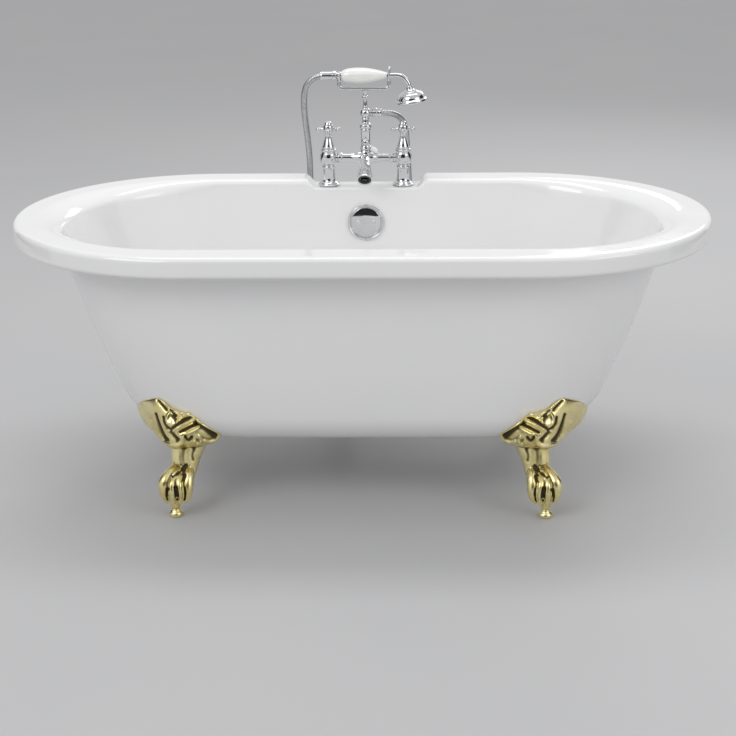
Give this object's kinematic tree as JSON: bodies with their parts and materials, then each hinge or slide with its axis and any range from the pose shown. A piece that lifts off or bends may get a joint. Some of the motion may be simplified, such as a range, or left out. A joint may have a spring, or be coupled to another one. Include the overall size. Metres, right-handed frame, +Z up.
{
  "type": "clawfoot bathtub",
  "caption": "Freestanding double-ended roll-top bath on claw feet, with a rim-mounted bath and shower mixer, handset on a cradle, overflow and waste.",
  "frame": {"origin": "on the floor, under the middle of the bath", "axes": "+X along the bath to the right of someone at its front, +Y towards the taps, +Z up"},
  "size_m": [1.524, 0.7991, 0.8705],
  "materials": {
    "basin_white": "gloss acrylic, thermoformed inner shell",
    "skin_white": "gloss acrylic, thermoformed outer skin",
    "board": "raw stiffening board",
    "backing_steel": "zinc-plated steel plate",
    "claw_gold": "polished gold-coloured casting with dark recesses",
    "zinc_steel": "zinc-plated steel fasteners",
    "glide_metal": "gold-coloured levelling glides",
    "chrome": "polished chrome plate",
    "rubber": "black rubber seals",
    "ceramic": "white glazed ceramic",
    "hose_metal": "close-wound metal hose jacket"
  },
  "bodies": {
    "bath": {"basin": "basin_white", "outer_skin": "skin_white", "base_board": "board", "ledge_backing_plate": "backing_steel", "foot_front_left": "claw_gold", "foot_front_right": "claw_gold", "foot_back_left": "claw_gold", "foot_back_right": "claw_gold", "leveller_locknuts": "glide_metal", "foot_bolts": "zinc_steel", "foot_washers": "zinc_steel", "board_inserts": "zinc_steel", "back_nuts": "zinc_steel", "overflow_gasket": "rubber", "waste_gasket": "rubber", "deck_seals": "rubber", "overflow_plate": "chrome", "overflow_screws": "chrome", "overflow_elbow": "chrome", "overflow_pipe": "chrome", "waste_flange": "chrome", "waste_shoe": "chrome", "waste_pipe": "chrome", "waste_tee": "chrome", "waste_tailpiece": "chrome", "slip_nuts": "chrome", "pillar_left": "chrome", "pillar_right": "chrome", "tap_tails": "chrome", "bridge_body": "chrome", "bonnets": "chrome", "spout": "chrome", "spout_outlet": "chrome", "riser_column": "chrome", "diverter_bonnet": "chrome", "shower_hub": "chrome", "hose_nut_lower": "chrome", "cradle_post": "chrome", "cradle_fork": "chrome", "hose": "hose_metal"},
    "tap_left": {"spindle_left": "chrome", "cross_handle_left": "chrome", "handle_button_left": "chrome"},
    "tap_right": {"spindle_right": "chrome", "cross_handle_right": "chrome", "handle_button_right": "chrome"},
    "diverter": {"diverter_lever": "chrome", "diverter_grip": "ceramic"},
    "handset": {"handset_handle": "ceramic", "handset_ferrule": "chrome", "handset_neck": "chrome", "rose_bell": "chrome", "spray_plate": "chrome", "hose_nut_upper": "chrome"},
    "plug": {"stopper": "chrome"},
    "glide_front_left": {"leveller_front_left": "glide_metal"},
    "glide_front_right": {"leveller_front_right": "glide_metal"},
    "glide_back_left": {"leveller_back_left": "glide_metal"},
    "glide_back_right": {"leveller_back_right": "glide_metal"}
  },
  "joints": [
    {"name": "tap_left_turn", "type": "hinge", "parent": "bath", "child": "tap_left", "pos_m": [-0.0889, 0.336, 0.72], "axis": [0, 0, 1], "range_deg": [0, 90]},
    {"name": "tap_right_turn", "type": "hinge", "parent": "bath", "child": "tap_right", "pos_m": [0.0889, 0.336, 0.72], "axis": [0, 0, 1], "range_deg": [-90, 0]},
    {"name": "diverter_turn", "type": "hinge", "parent": "bath", "child": "diverter", "pos_m": [0, 0.3135, 0.696], "axis": [0, 1, 0], "range_deg": [-90, 0]},
    {"name": "handset_lift", "type": "slide", "parent": "bath", "child": "handset", "axis": [0, 0, 1], "range_m": [0, 0.08], "deforming": ["hose"]},
    {"name": "plug_rise", "type": "slide", "parent": "bath", "child": "plug", "axis": [0, 0, 1], "range_m": [0, 0.008]},
    {"name": "glide_front_left_turn", "type": "hinge", "parent": "bath", "child": "glide_front_left", "pos_m": [-0.4, -0.271, 0.004], "axis": [0, 0, 1], "range_deg": [-720, 720]},
    {"name": "glide_front_right_turn", "type": "hinge", "parent": "bath", "child": "glide_front_right", "pos_m": [0.4, -0.271, 0.004], "axis": [0, 0, 1], "range_deg": [-720, 720]},
    {"name": "glide_back_left_turn", "type": "hinge", "parent": "bath", "child": "glide_back_left", "pos_m": [-0.4, 0.271, 0.004], "axis": [0, 0, 1], "range_deg": [-720, 720]},
    {"name": "glide_back_right_turn", "type": "hinge", "parent": "bath", "child": "glide_back_right", "pos_m": [0.4, 0.271, 0.004], "axis": [0, 0, 1], "range_deg": [-720, 720]}
  ]
}
